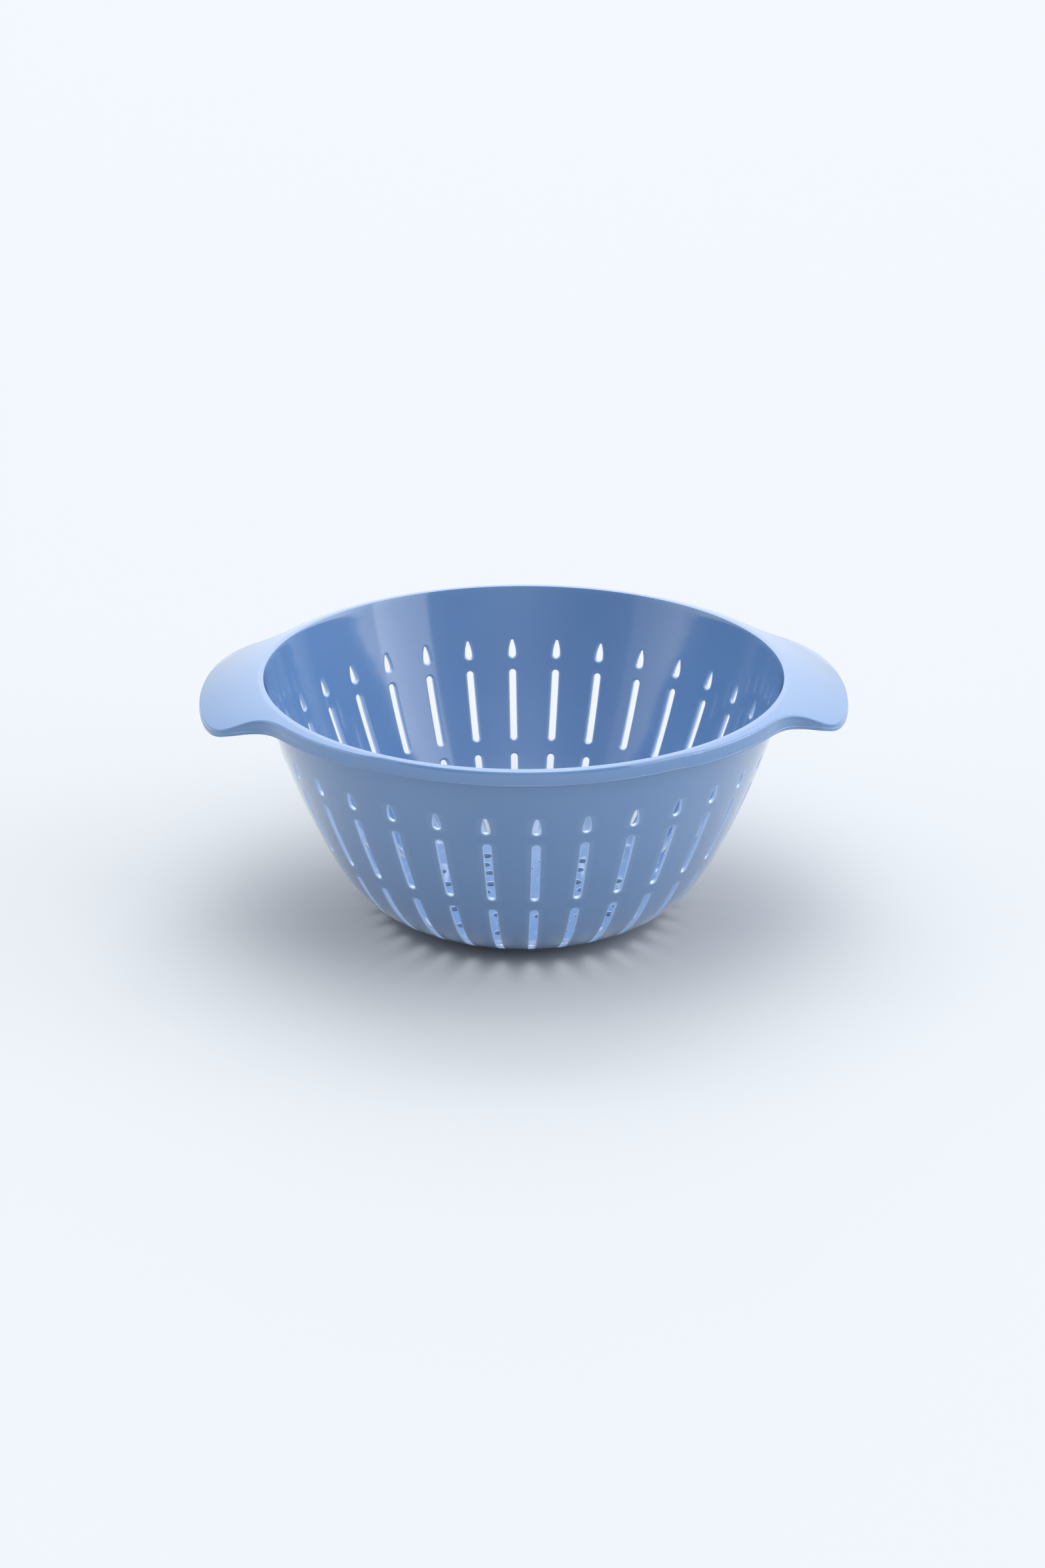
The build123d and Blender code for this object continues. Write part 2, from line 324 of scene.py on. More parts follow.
def tear(top, bottom, width, n_side):
    w, length = width / 2, bottom - top
    rt = (0.5225**2 + 0.44**2) / 0.88
    end = math.asin(0.5225 / rt)
    al = np.linspace(-end, end, NT + 1)
    side = Curve([(0.5225, 0.44), (1.22, 2.9), (w, length - w)], (0.32, 1.0), (0.0, 1.0))
    n = n_side - 2
    f = np.linspace(0, 1, n + 1)[1:]
    ct, cs, tt, ts = side.at(side.s[-1] * (0.75 * f + 0.25 * f * f))
    b = length - w
    al2 = np.linspace(math.pi / 2, math.radians(60), 3)[1:]
    low = np.linspace(math.radians(60), -math.radians(60), NT + 1)
    s = np.concatenate([rt - rt * np.cos(al), cs, b + w * np.cos(al2)])
    t = np.concatenate([rt * np.sin(al), ct, w * np.sin(al2)])
    ds = np.concatenate([-np.cos(al), -tt, np.cos(al2)])
    dt = np.concatenate([np.sin(al), ts, np.sin(al2)])
    return closed(top + s, t, ds, dt, top + b + w * np.cos(low), w * np.sin(low),
                  np.cos(low), np.sin(low))


def closed(s, t, ds, dt, bs, bt, bds, bdt):
    """Upper end and right side, then the lower end, then the left side mirrored."""
    left = slice(len(s) - 2, NT, -1)
    return (np.concatenate([s, bs[1:], s[left]]), np.concatenate([t, bt[1:], -t[left]]),
            np.concatenate([ds, bds[1:], ds[left]]), np.concatenate([dt, bdt[1:], -dt[left]]))


def place(s, a, depth):
    r, z, nr, nz = wall(s, depth)
    return np.stack([r * np.cos(a), r * np.sin(a), z + Z_RIM], -1)


def opening(shell, line, s0, s1, n_side, draft=(0.0, 0.0), round_out=0.38, round_in=1.15):
    """The wall round one opening, from the sector's border to and through it.
    The draft moves its lower end down at the outer face and up at the inner one."""
    s, t, ds, dt = line
    side = np.linspace(s0, s1, n_side + 1)
    across = np.linspace(-HALF, HALF, NT + 1)
    rs = np.concatenate([np.full(NT + 1, s0), side[1:], np.full(NT, s1), side[::-1][1:-1]])
    ra = np.concatenate([across, np.full(n_side, HALF), across[::-1][1:], np.full(n_side - 1, -HALF)])
    th = thickness(outer.at(s)[1])
    low = np.clip((s - (s.max() - 7.0)) / 6.0, 0.0, 1.0)
    low = low * low * (3 - 2 * low)
    tilt = low * np.maximum(ds, 0.0) * (draft[0] + draft[1]) / th
    rings, normals = [], []

    def ring(off, depth, phi, inside, fade=0.0):
        q, lat = s + ds * off + low * (draft[0] - (draft[0] + draft[1]) * depth / th), t + dt * off
        r, z, nr, nz = wall(q, depth)
        a = np.arcsin(lat / r)
        if fade:
            q = q + (rs - q) * fade
            a = a + (ra - a) * fade
            depth = thickness(outer.at(q)[1]) if inside else 0.0
            r, z, nr, nz = wall(q, depth)
        face = np.stack([nr * np.cos(a), nr * np.sin(a), nz], -1) * (-1.0 if inside else 1.0)
        out = (ds[:, None] * np.stack([-nz * np.cos(a), -nz * np.sin(a), nr], -1) * -1.0
               + dt[:, None] * np.stack([np.zeros_like(a), np.ones_like(a), np.zeros_like(a)], -1))
        out = out - tilt[:, None] * np.stack([nr * np.cos(a), nr * np.sin(a), nz], -1)
        rings.append(np.stack([r * np.cos(a), r * np.sin(a), z + Z_RIM], -1))
        normals.append(math.cos(phi) * face - math.sin(phi) * out)

    angles = [0.0, math.radians(30), math.radians(60), math.radians(90)]
    for fade in (1.0, 0.68, 0.36):
        ring(round_out + 0.3, 0.0, 0.0, False, fade)
    ring(round_out + 0.3, 0.0, 0.0, False)
    for phi in angles:
        ring(round_out * (1 - math.sin(phi)), round_out * (1 - math.cos(phi)), phi, False)
    for phi in angles[::-1]:
        ring(round_in * (1 - math.sin(phi)), th - round_in * (1 - math.cos(phi)), phi, True)
    ring(round_in + 0.3, th, 0.0, True)
    for fade in (0.36, 0.68, 1.0):
        ring(round_in + 0.3, th, 0.0, True, fade)
    # painted glow: the walls of the slot are drawn paler, standing in for light coming through the plastic
    shell.grid(rings, normals, ring=True,
               thin=[0, 0, 0, 0.08, 0.5, 0.95, 1, 1, 1, 0.7, 0.25, 0.05, 0, 0, 0, 0])


def bowl_wall():
    shell = Shell()
    ends = [(s_at_z(a), s_at_z(b)) for a, b in (TEAR, LONG, LOW)]
    cuts = [ends[0][0] - 2.8, (ends[0][1] + ends[1][0]) / 2, (ends[1][1] + ends[2][0]) / 2, ends[2][1] + 2.8]
    sides = [10, 18, 22]
    shapes = [tear(*ends[0], TEAR_W, sides[0]), stadium(*ends[1], SLOT_W, sides[1]),
              stadium(*ends[2], SLOT_W, sides[2])]
    for shape, a, b, n, draft in zip(shapes, cuts, cuts[1:], sides, [(0.0, 0.0), (0.15, 0.25), (0.0, 0.0)]):
        opening(shell, shape, a, b, n, draft)
    across = np.linspace(-HALF, HALF, NT + 1)

    def band(rows, inside):
        rows = np.asarray(rows)
        depth = thickness(outer.at(rows)[1]) if inside else np.zeros(len(rows))
        r, z, nr, nz = wall(rows, depth)
        k = -1.0 if inside else 1.0
        return r, z, nr * k, nz * k

    s_top = s_at_z(WALL_TOP)
    end_out = float(np.interp(-BASE_R, -outer.p[:, 0], outer.s))
    end_in = s_inner(BASE_R, by_radius=True)
    shell.grid(*turned_rows(*band(np.linspace(s_top, cuts[0], 9), False), across))
    shell.grid(*turned_rows(*band(np.linspace(cuts[3], end_out, 7), False), across))
    shell.grid(*turned_rows(*band(np.linspace(cuts[3], end_in, 7), True), across))
    r, z, nr, nz = inner_edge(np.linspace(U_SPLIT, 0.0, 4))
    shell.grid(*turned_rows(r, z, nr, nz, across))
    shell.grid(*turned_rows(*band(np.linspace(_s0, cuts[0], 8), True), across))
    ro, zo = wall(s_top, 0.0)[:2]
    ri, zi = r[0], z[0]
    shell.grid(*turned_rows([ro, ri], [zo, zi], [0, 0], [1, 1], across))
    ro, zo = wall(end_out, 0.0)[:2]
    ri, zi = wall(end_in, float(thickness(outer.at(end_in)[1])))[:2]
    shell.grid(*turned_rows([ro, ri], [zo, zi], [-1, -1], [0, 0], across))
    shell.turned([PHASE + 360.0 / COLUMNS * k for k in range(COLUMNS)])
    return shell.build("bowl_wall_skin")


# ---------------------------------------------------------------- floor with holes
def under_z(r):
    r = np.asarray(r, float)
    return np.where(r <= 46.0, -114.4, np.interp(r, outer.p[::-1, 0], outer.p[::-1, 1]))


def floor_z(r):
    r = np.asarray(r, float)
    return np.where(r <= 46.0, -112.2, np.interp(r, inner_r[::-1], inner_z[::-1]))


def floor_normal(x, y, inside):
    r = np.hypot(x, y)
    f = floor_z if inside else under_z
    slope = (f(r + 0.05) - f(r - 0.05)) / 0.1
    k = 1.0 if inside else -1.0
    rr = np.maximum(r, 1e-9)
    n = np.stack([-slope * x / rr, -slope * y / rr, np.ones_like(r)], -1) * k
    return n / np.linalg.norm(n, axis=-1)[..., None]


def base():
    shell = Shell()
    for (ring_r, count, phase), r0, r1 in zip(HOLES, HOLE_ZONES, HOLE_ZONES[1:]):
        nt, nr = 360 // count, 8
        half = math.pi / count
        th = np.linspace(-half, half, nt + 1)
        rr = np.linspace(r0, r1, nr + 1)
        pr = np.concatenate([np.full(nt + 1, r0), rr[1:], np.full(nt, r1), rr[::-1][1:-1]])
        pa = np.concatenate([th, np.full(nr, half), th[::-1][1:], np.full(nr - 1, -half)])
        for k in range(count):
            c = math.radians(phase + 360.0 / count * k)
            px, py = pr * np.cos(pa + c), pr * np.sin(pa + c)
            cx, cy = ring_r * math.cos(c), ring_r * math.sin(c)
            dx, dy = px - cx, py - cy
            d = np.hypot(dx, dy)
            dx, dy = dx / d, dy / d
            rings, normals = [], []

            def add(off, depth, phi, inside, border=0.0):
                rad = HOLE_R + off
                rad = rad + (d - rad) * border
                x, y = cx + dx * rad, cy + dy * rad
                r = np.hypot(x, y)
                z = floor_z(r) - depth if inside else under_z(r) + depth
                rings.append(np.stack([x, y, z + Z_RIM], -1))
                n = floor_normal(x, y, inside)
                side = np.stack([-dx, -dy, np.zeros_like(dx)], -1)
                normals.append(math.cos(phi) * n + math.sin(phi) * side)

            rho = 0.3
            angles = [math.radians(v) for v in (0, 30, 60, 90)]
            for inside in (True, False):
                turn = [1, -1][not inside]
                parts = ([(rho + 0.25, 0.0, 0.0, 1.0), (rho + 0.25, 0.0, 0.0, 0.5), (rho + 0.25, 0.0, 0.0, 0.0)]
                         + [(rho * (1 - math.sin(a)), rho * (1 - math.cos(a)), a, 0.0) for a in angles])
                for off, depth, phi, border in parts[::turn]:
                    add(off, depth, phi, inside, border)
            # painted glow: the walls of the hole are drawn paler, standing in for light coming through the plastic
            shell.grid(rings, normals, ring=True,
                       thin=[0, 0, 0.03, 0.2, 0.5, 0.6, 0.6, 0.6, 0.6, 0.5, 0.2, 0.03, 0, 0])
    turn = np.radians(np.arange(360.0))
    for inside in (True, False):
        f = floor_z if inside else under_z
        for rows in (np.array([0.0, 4.0, 9.0, HOLE_ZONES[0]]), np.array([HOLE_ZONES[-1], 51.7, BASE_R])):
            x, y = rows[:, None] * np.cos(turn), rows[:, None] * np.sin(turn)
            r = np.broadcast_to(rows[:, None], x.shape)
            shell.grid(np.stack([x, y, f(r) + Z_RIM], -1), floor_normal(x, y, inside), ring=True)
    r = np.array([BASE_R, BASE_R])
    z = np.array([float(floor_z(BASE_R)), float(under_z(BASE_R))])
    p, n = turned_rows(r, z, [1, 1], [0, 0], turn)
    shell.grid(p, n, ring=True)
    return shell.build("base_skin")


# ---------------------------------------------------------------- foot ring
def foot_ring():
    shell = Shell()
    mid, quarter = (FOOT_IN + FOOT_OUT) / 2, (FOOT_IN + FOOT_OUT) / 2 * math.pi / 4
    c, h, w = 0.4, NOTCH_H, NOTCH_W / 2
    path = [(q, 0.0, 0.0, -1.0) for q in np.linspace(-quarter, -w - c, 18)]
    path += [(-w - c + c * math.cos(a), c + c * math.sin(a), math.cos(a), math.sin(a))
             for a in np.radians([-68, -45, -22, 0])]
    path += [(-w + c + c * math.cos(a), h - c + c * math.sin(a), -math.cos(a), -math.sin(a))
             for a in np.radians([180, 158, 135, 112, 90])]
    path += [(q, h, 0.0, -1.0) for q in np.linspace(-w + c, 0.0, 5)[1:]]
    path += [(-q, z, -nq, nz) for q, z, nq, nz in path[-2::-1]]
    path = np.array(path[:-1])
    rows = []
    for k in range(4):
        a0 = math.radians(45 + 90 * k)
        rows.append(np.column_stack([path[:, 0] / mid + a0, path[:, 1:], ]))
    path = np.concatenate(rows)
    ang, z, nq, nz = path.T
    rings, normals = [], []

    def add(r, back, nr, nn):
        zz = z - nz * back
        aa = ang - nq * back / mid
        rings.append(np.stack([r * np.cos(aa), r * np.sin(aa), zz], -1))
        ca, sa = np.cos(aa), np.sin(aa)
        normals.append(np.stack([nr * ca - nn * nq * sa, nr * sa + nn * nq * ca, nn * nz], -1))

    rho = 0.38
    zo, zi = float(under_z(FOOT_OUT)) + Z_RIM, float(under_z(FOOT_IN)) + Z_RIM
    ca, sa = np.cos(ang), np.sin(ang)
    zero = np.zeros_like(ca)
    rings.append(np.stack([FOOT_OUT * ca, FOOT_OUT * sa, zero + zo], -1))
    normals.append(np.stack([ca, sa, zero], -1))
    for a in np.radians([90, 67, 45, 22, 0]):
        add(FOOT_OUT - rho * (1 - math.sin(a)), rho * (1 - math.cos(a)), math.sin(a), math.cos(a))
    for a in np.radians([0, 22, 45, 67, 90]):
        add(FOOT_IN + rho * (1 - math.sin(a)), rho * (1 - math.cos(a)), -math.sin(a), math.cos(a))
    rings.append(np.stack([FOOT_IN * ca, FOOT_IN * sa, zero + zi], -1))
    normals.append(np.stack([-ca, -sa, zero], -1))
    shell.grid(rings, normals, ring=True)
    shell.grid([rings[-1], rings[0]], [0, 0, 1], ring=True)
    return shell.build("foot_ring_skin")


# ---------------------------------------------------------------- rim and handles
def stations():
    """Points of the plan outline, clockwise from the rim, with outward normals."""
    quarter = [RIM_LEAVE] + HANDLE
    half = quarter + [(x, -y) for x, y in quarter[-2::-1]]
    t = (RIM_LEAVE[1], -RIM_LEAVE[0])
    line = Curve(half, t, (-t[0], t[1]), fine=120)
    az = np.degrees(np.arctan2(line.p[:, 1], line.p[:, 0]))
    total = line.s[-1]
    s33 = float(np.interp(-33.0, -az, line.s))
    rows = steps([0.0, s33, total - s33, total], [46, 150, 46])
    x, y, tx, ty = line.at(rows)
    n_arc = 80
    a0 = math.atan2(-RIM_LEAVE[1], RIM_LEAVE[0])
    a1 = math.atan2(-RIM_LEAVE[1], -RIM_LEAVE[0])
    arc = np.linspace(a0, a1, n_arc + 1)[1:-1]
    ax, ay = RIM_R * np.cos(arc), RIM_R * np.sin(arc)
    px = np.concatenate([x, ax, -x, -ax])
    py = np.concatenate([y, ay, -y, -ay])
    nx = np.concatenate([-ty, np.cos(arc), ty, -np.cos(arc)])
    ny = np.concatenate([tx, np.sin(arc), -tx, -np.sin(arc)])
    first = len(x) + len(arc)
    return px, py, nx, ny, [(46, 196), (first + 46, first + 196)]


# Rounding of the outer top edge, an ellipse's depth and height. The bowl's rim has
# a circular part before it, up to this tilt from straight up.
EDGE_RIM, EDGE_HANDLE = (0.8, 4.2), (0.75, 0.85)
RIM_ARC, RIM_TILT = 1.15, math.radians(52.0)
INSET = 0.24                 # how far the skirt lies behind its lower bead
STEP = 0.11                  # how far the handles' skirt lies behind the rim's
# Lower bead of the skirt: distance past the outline, height over the lower
# edge, and the normal's angle from straight up.
BEAD = [(-0.24, 1.95, 90), (-0.235, 1.72, 84), (-0.20, 1.63, 58), (-0.12, 1.55, 45), (-0.05, 1.47, 58),
        (-0.01, 1.36, 80), (0.0, 1.20, 90), (0.0, 0.46, 92), (-0.035, 0.285, 112), (-0.135, 0.135, 135),
        (-0.285, 0.035, 158), (-0.46, 0.0, 178)]
# distances from the middle between which the line under the rim's skirt climbs
CREASE = (82.0, 112.0)


def edge_curve(phi, far):
    """Depth and height left to the skirt where the normal is phi from straight up."""
    def ellipse(a, b, t):
        th = np.arctan2(a * np.sin(t), b * np.cos(t))
        return a * (1 - np.sin(th)), b * np.cos(th)

    t = np.minimum(phi, RIM_TILT)
    x0, z0 = ellipse(*EDGE_RIM, np.maximum(phi, RIM_TILT))
    x0, z0 = x0 + RIM_ARC * (np.sin(RIM_TILT) - np.sin(t)), z0 + RIM_ARC * (np.cos(t) - np.cos(RIM_TILT))
    x1, z1 = ellipse(*EDGE_HANDLE, phi)
    return x0 + (x1 - x0) * far, z0 + (z1 - z0) * far


def crown():
    px, py, nx, ny, zones = stations()
    rho = np.hypot(px, py)
    ux, uy = px / rho, py / rho
    az = np.arctan2(py, px)
    tx, ty = ny, -nx
    rows, normals, names = [], [], []

    def add(x, y, z, ax, ay, azz, name=""):
        one = np.ones_like(px)
        rows.append(np.stack([x * one, y * one, (z + Z_RIM) * one], -1))
        n = np.stack([ax * one, ay * one, azz * one], -1)
        normals.append(n / np.linalg.norm(n, axis=-1)[:, None])
        names.append(name)

    # rounded inner edge
    for r, z, nr, nz in zip(*inner_edge(np.linspace(U_SPLIT, 1.0, 9))):
        add(r * ux, r * uy, z, nr * ux, nr * uy, nz)
    # top surface
    guess = rho - 1.2
    slope = top_slope(guess) * (nx * ux + ny * uy)
    phi0 = np.arctan(-slope)
    far = np.clip((rho - 124.2) / 6.5, 0.0, 1.0)
    far = far * far * (3 - 2 * far)
    back = INSET + edge_curve(phi0, far)[0]
    qx, qy = px - nx * back, py - ny * back
    ax, ay = EDGE_TOP * ux, EDGE_TOP * uy

    def reach(bx, by, fx, fy, radius):
        """The share of the way from b to f at which the radius is reached."""
        dx, dy = fx - bx, fy - by
        a, b, c = dx * dx + dy * dy, bx * dx + by * dy, bx * bx + by * by - radius**2
        return (-b + np.sqrt(np.maximum(b * b - a * c, 0))) / a

    f4 = reach(ax, ay, qx, qy, JOIN_R)
    f4 = np.minimum(f4, f4[zones[0][0]])
    shares = [f4 * 0.22, f4 * 0.45, f4 * 0.7, f4] + [f4 + (1 - f4) * k for k in (0.12, 0.28, 0.45, 0.62, 0.78, 0.9, 1.0)]
    for i, f in enumerate(shares):
        x, y = ax + (qx - ax) * f, ay + (qy - ay) * f
        r = np.hypot(x, y)
        sl = top_slope(r)
        add(x, y, top_z(r), -sl * x / r, -sl * y / r, 1.0, "join_top" if i == 3 else "")
    # rounded outer edge
    rq = np.hypot(qx, qy)
    zc = top_z(rq) - edge_curve(phi0, far)[1]
    side = -top_slope(rq) * (ux * tx + uy * ty)
    for k in (0.12, 0.24, 0.36, 0.48, 0.6, 0.7, 0.78, 0.85, 0.91, 0.96, 1.0):
        phi = phi0 + (math.pi / 2 - phi0) * k
        off, up = edge_curve(phi, far)
        s, c = np.sin(phi), np.cos(phi)
        add(px - nx * (INSET + off), py - ny * (INSET + off), zc + up,
            s * nx + c * side * tx, s * ny + c * side * ty, c)
    # skirt, with the line where the handle's skirt goes in under the rim's, and its bead
    zb = low_z(rho)
    tall = 0.36 + 0.64 * far
    first = zb + BEAD[0][1] * tall
    along = np.clip((np.abs(px) - CREASE[0]) / (CREASE[1] - CREASE[0]), 0.0, 1.0)
    proud = -STEP * np.minimum(1.0, along * 6.0)
    drop = zc - first
    zs = first + drop * (0.10 + 0.74 * along)
    for z, off, lean in ((zs + (zc - zs) * 0.5, 0.0, 0.0), (zs + drop * 0.09, 0.0, 0.0),
                         (zs + drop * 0.045, 0.14, 0.32), (zs - drop * 0.045, 0.86, 0.32),
                         (zs - drop * 0.09, 1.0, 0.0), (first + (zs - drop * 0.09 - first) * 0.4, 1.0, 0.0)):
        back = INSET - off * proud
        add(px - nx * back, py - ny * back, z, nx, ny, lean * proud / STEP)
    for x, z, a in BEAD:
        a = math.radians(a)
        if z > 1.3:
            x = x * (INSET - proud) / INSET
        add(px + nx * x, py + ny * x, zb + z * tall, nx * math.sin(a), ny * math.sin(a), math.cos(a))
    # inner side of the skirt
    for a in (180, 150, 120, 90):
        a = math.radians(a)
        off = SKIRT_T - 0.4 + 0.4 * math.sin(a)
        add(px - nx * off, py - ny * off, zb + 0.4 + 0.4 * math.cos(a),
            -nx * math.sin(a), -ny * math.sin(a), math.cos(a))
    inx, iny = px - nx * SKIRT_T, py - ny * SKIRT_T
    rin = np.hypot(inx, iny)
    rf = np.minimum(0.8, 0.8 * np.maximum(rin - GAP_R, 0.02))
    zu = top_z(rin) - PLATE_T
    for k in (0.35, 0.7):
        add(inx, iny, zb + 0.4 + (zu - rf - zb - 0.4) * k, -nx, -ny, 0.0)
    for a in (90, 60, 30, 0):
        a = math.radians(a)
        off = SKIRT_T + rf * (1 - math.sin(a))
        x, y = px - nx * off, py - ny * off
        add(x, y, top_z(np.hypot(x, y)) - PLATE_T - rf * (1 - math.cos(a)),
            -nx * math.sin(a), -ny * math.sin(a), -math.cos(a))
    # underside of the plate
    off = SKIRT_T + rf
    vx, vy = px - nx * off, py - ny * off
    gx, gy = GAP_R * ux, GAP_R * uy
    g4 = reach(gx, gy, vx, vy, JOIN_R)
    g4 = np.minimum(g4, g4[zones[0][0]])
    for i, f in enumerate([g4 + (1 - g4) * k for k in (0.75, 0.5, 0.25)] + [g4, g4 * 0.5, g4 * 0.0]):
        x, y = gx + (vx - gx) * f, gy + (vy - gy) * f
        r = np.hypot(x, y)
        sl = top_slope(r)
        add(x, y, top_z(r) - PLATE_T, sl * x / r, sl * y / r, -1.0, "join_low" if i == 3 else "")
    r0, z0 = inner_edge([U_SPLIT])[:2]
    add(r0[0] * ux, r0[0] * uy, z0[0], 0.0, 0.0, -1.0)

    rows, normals = np.array(rows), np.array(normals)
    up, low = names.index("join_top"), names.index("join_low")
    count = rows.shape[1]

    def part(shell, row_ids, cols):
        shell.grid(rows[row_ids][:, cols], normals[row_ids][:, cols])

    rim = Shell()
    everything = list(range(len(rows)))
    (a0, b0), (a1, b1) = zones
    for cols in (list(range(b0, a1 + 1)), list(range(b1, count)) + list(range(0, a0 + 1))):
        part(rim, everything, cols)
    handles = []
    for a, b in zones:
        cols = list(range(a, b + 1))
        part(rim, everything[:up + 1], cols)
        part(rim, everything[low:], cols)
        wall_rows = rows[[up, low]][:, cols]
        out = np.stack([wall_rows[0][:, 0], wall_rows[0][:, 1], np.zeros(len(cols))], -1) / JOIN_R
        rim.grid(wall_rows, np.stack([out, out]))
        handle = Shell()
        part(handle, everything[up:low + 1], cols)
        handle.grid(wall_rows, np.stack([-out, -out]))
        for j, k in ((a, -1.0), (b, 1.0)):
            t = np.array([tx[j], ty[j], 0.0]) * k
            handle.outline(rows[up:low + 1, j], t)
            rim.outline(rows[up:low + 1, j], -t)
        handles.append(handle)
    return (rim.build("rim_skin"), handles[0].build("right_handle_skin"), handles[1].build("left_handle_skin"))


# ---------------------------------------------------------------- material
def plastic():
    """Glossy moulded plastic: faint cloudiness in colour and gloss, fine surface ripple."""
    mat = bpy.data.materials.new("light_blue_plastic")
    mat.use_nodes = True
    nt = mat.node_tree
    nodes, links = nt.nodes, nt.links
    shader = nodes["Principled BSDF"]
    coords = nodes.new("ShaderNodeTexCoord")

    def noise(scale, detail, rough=0.5):
        n = nodes.new("ShaderNodeTexNoise")
        n.inputs["Scale"].default_value = scale
        n.inputs["Detail"].default_value = detail
        n.inputs["Roughness"].default_value = rough
        links.new(coords.outputs["Object"], n.inputs["Vector"])
        return n

    cloud = noise(26.0, 3.0)
    ramp = nodes.new("ShaderNodeValToRGB")
    ramp.color_ramp.elements[0].position = 0.32
    ramp.color_ramp.elements[0].color = (0.112, 0.222, 0.430, 1.0)
    ramp.color_ramp.elements[1].position = 0.70
    ramp.color_ramp.elements[1].color = (0.119, 0.232, 0.444, 1.0)
    links.new(cloud.outputs["Fac"], ramp.inputs["Fac"])
    # painted glow: the edges of the openings are painted paler, standing in for light coming through the plastic
    edge = nodes.new("ShaderNodeAttribute")
    edge.attribute_name = "thin"
    painted_glow_mix = nodes.new("ShaderNodeMix")
    painted_glow_mix.data_type = "RGBA"
    painted_glow_mix.inputs[7].default_value = (0.46, 0.62, 0.86, 1.0)
    links.new(edge.outputs["Fac"], painted_glow_mix.inputs[0])
    links.new(ramp.outputs["Color"], painted_glow_mix.inputs[6])
    links.new(painted_glow_mix.outputs[2], shader.inputs["Base Color"])

    patch = noise(60.0, 4.0)
    rough = nodes.new("ShaderNodeMapRange")
    rough.inputs["From Min"].default_value = 0.3
    rough.inputs["From Max"].default_value = 0.7
    rough.inputs["To Min"].default_value = 0.09
    rough.inputs["To Max"].default_value = 0.12
    links.new(patch.outputs["Fac"], rough.inputs["Value"])
    links.new(rough.outputs["Result"], shader.inputs["Roughness"])

    broad, fine = noise(140.0, 2.0), noise(2400.0, 2.0)
    bump1 = nodes.new("ShaderNodeBump")
    bump1.inputs["Strength"].default_value = 0.05
    bump1.inputs["Distance"].default_value = 0.0006
    links.new(broad.outputs["Fac"], bump1.inputs["Height"])
    bump2 = nodes.new("ShaderNodeBump")
    bump2.inputs["Strength"].default_value = 0.05
    bump2.inputs["Distance"].default_value = 0.00008
    links.new(fine.outputs["Fac"], bump2.inputs["Height"])
    links.new(bump1.outputs["Normal"], bump2.inputs["Normal"])
    links.new(bump2.outputs["Normal"], shader.inputs["Normal"])

    shader.inputs["IOR"].default_value = 1.5
    shader.inputs["Coat Weight"].default_value = 0.9
    shader.inputs["Coat Roughness"].default_value = 0.06
    shader.inputs["Coat IOR"].default_value = 1.5
    return mat


blue = plastic()
rim_piece, right_piece, left_piece = crown()
pieces = {
    "bowl_wall": bowl_wall(),
    "base": base(),
    "foot_ring": foot_ring(),
    "rim": rim_piece,
    "right_handle": right_piece,
    "left_handle": left_piece,
}
for node, piece in pieces.items():
    piece.data.materials.append(blue)
    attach(piece, "root")
    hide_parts(node)

# ---------------------------------------------------------------- floor and light
floor_mesh = bpy.data.meshes.new("floor")
floor_mesh.from_pydata([(-9, -9, 0), (9, -9, 0), (9, 9, 0), (-9, 9, 0)], [], [(0, 1, 2, 3)])
floor = bpy.data.objects.new("floor", floor_mesh)
bpy.context.scene.collection.objects.link(floor)
pale = bpy.data.materials.new("pale_floor")
pale.use_nodes = True
pale.node_tree.nodes["Principled BSDF"].inputs["Base Color"].default_value = (0.475, 0.495, 0.515, 1.0)
pale.node_tree.nodes["Principled BSDF"].inputs["Roughness"].default_value = 0.75
pale.node_tree.nodes["Principled BSDF"].inputs["Specular IOR Level"].default_value = 0.2
floor_mesh.materials.append(pale)


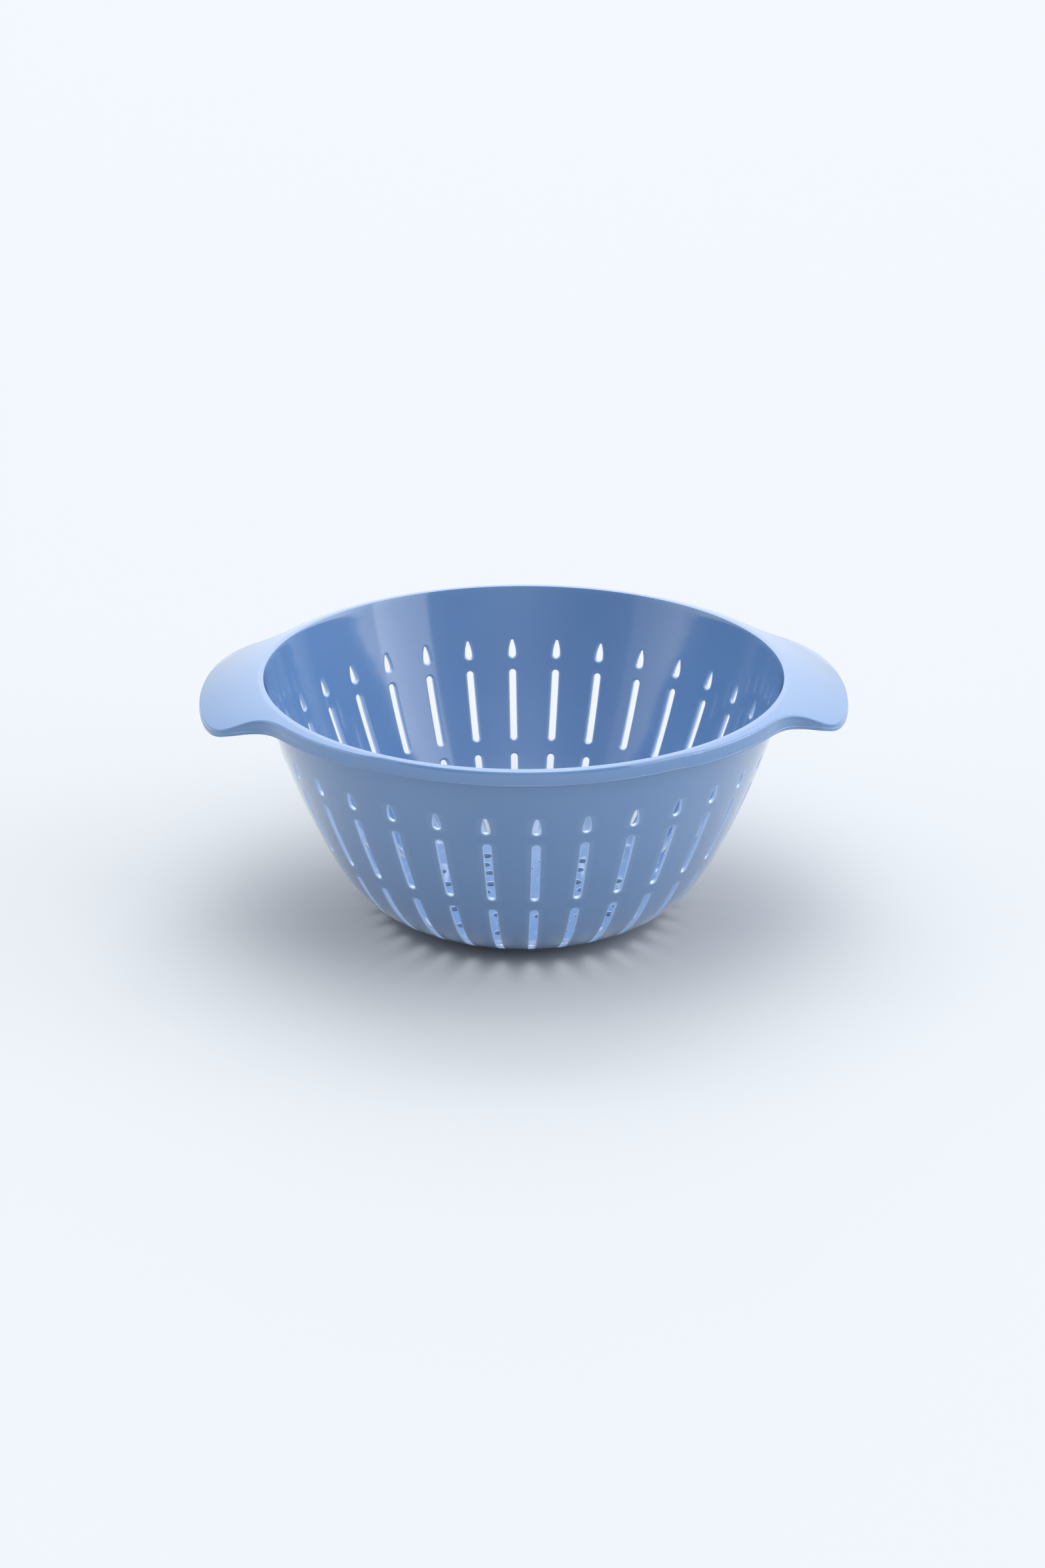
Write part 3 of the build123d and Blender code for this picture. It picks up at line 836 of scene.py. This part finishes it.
def studio_world(ambient, glows, panels):
    """Pale surroundings: soft glows (azimuth, elevation, spread, strength) and
    straight-edged softboxes (middle azimuth, half width, lowest and highest
    elevation, strength, softness of the border)."""
    world = bpy.data.worlds.new("studio")
    world.use_nodes = True
    nt = world.node_tree
    nodes, links = nt.nodes, nt.links
    coords = nodes.new("ShaderNodeTexCoord")

    def math_node(kind, *values):
        n = nodes.new("ShaderNodeMath")
        n.operation = kind
        for socket, v in zip(n.inputs, values):
            if isinstance(v, (int, float)):
                socket.default_value = v
            else:
                links.new(v, socket)
        return n.outputs[0]

    def dot(v):
        n = nodes.new("ShaderNodeVectorMath")
        n.operation = "DOT_PRODUCT"
        links.new(coords.outputs["Generated"], n.inputs[0])
        n.inputs[1].default_value = v
        return n.outputs["Value"]

    def step(value, low, high):
        n = nodes.new("ShaderNodeMapRange")
        n.interpolation_type = "SMOOTHSTEP"
        n.inputs["From Min"].default_value = low
        n.inputs["From Max"].default_value = high
        links.new(value, n.inputs["Value"])
        return n.outputs["Result"]

    height = dot((0.0, 0.0, 1.0))
    total = math_node("MULTIPLY", height, 0.0)
    total = math_node("ADD", total, ambient)
    for az, el, spread, strength in glows:
        a, e, k = math.radians(az), math.radians(el), math.radians(spread) ** -2
        near = dot((math.cos(e) * math.cos(a), math.cos(e) * math.sin(a), math.sin(e)))
        lobe = math_node("EXPONENT", math_node("MULTIPLY_ADD", near, k, -k))
        total = math_node("MULTIPLY_ADD", lobe, strength, total)
    for az, half, low, high, strength, soft in panels:
        a = math.radians(az)
        ahead = dot((math.cos(a), math.sin(a), 0.0))
        safe = math_node("MAXIMUM", ahead, 0.01)
        wide = math.tan(math.radians(half))
        across = step(math_node("ABSOLUTE", math_node("DIVIDE", dot((-math.sin(a), math.cos(a), 0.0)), safe)),
                      wide + soft, wide - soft)
        rise = math_node("DIVIDE", height, safe)
        lowest, highest = math.tan(math.radians(low)), math.tan(math.radians(high))
        tall = math_node("MULTIPLY", step(rise, lowest - soft, lowest + soft), step(rise, highest + soft, highest - soft))
        mask = math_node("MULTIPLY", math_node("MULTIPLY", across, tall), math_node("GREATER_THAN", ahead, 0.01))
        total = math_node("MULTIPLY_ADD", mask, strength, total)
    back = nodes["Background"]
    back.inputs["Color"].default_value = (0.975, 0.985, 1.0, 1.0)
    links.new(total, back.inputs["Strength"])
    bpy.context.scene.world = world


studio_world(0.02, [
    (0.0, 90.0, 20.0, 1.90),        # overhead
    (90.0, 76.0, 15.0, 1.40),
    (-90.0, 70.0, 16.0, 2.00),
    (-90.0, 46.0, 16.0, 0.60),
    (90.0, 55.0, 26.0, 0.75),       # behind
    (90.0, 25.0, 26.0, 0.95),
    (90.0, 4.0, 9.0, 0.60),
    (45.0, 15.0, 22.0, 0.35),
    (180.0, 15.0, 20.0, 1.55),      # left side
    (0.0, 15.0, 20.0, 3.0),         # right side
    (-90.0, 15.0, 25.0, 0.24),      # in front
    (-90.0, -6.0, 12.0, 0.45),
], [
    (-33.5, 13.5, -6.0, 55.0, 1.35, 0.015),
    (-156.0, 13.0, -6.0, 45.0, 0.27, 0.03),
    (90.0, 42.0, 52.0, 67.0, 2.6, 0.1),
])

# ---------------------------------------------------------------- camera
cam = bpy.data.cameras.new("camera")
cam.sensor_fit = "VERTICAL"
cam.sensor_height = 36.0
cam.lens = 74.18
cam.clip_start, cam.clip_end = 0.05, 50.0
cam_obj = bpy.data.objects.new("camera", cam)
target = Vector((-0.000547, 0.000014, 0.06054))
turn, rise, far = math.radians(-90 - 1.465), math.radians(22.499), 1.513873
cam_obj.location = target + far * Vector((math.cos(rise) * math.cos(turn), math.cos(rise) * math.sin(turn), math.sin(rise)))
cam_obj.rotation_euler = (target - cam_obj.location).to_track_quat("-Z", "Y").to_euler()
bpy.context.scene.collection.objects.link(cam_obj)
bpy.context.scene.camera = cam_obj
bpy.context.scene.view_settings.view_transform = "Standard"
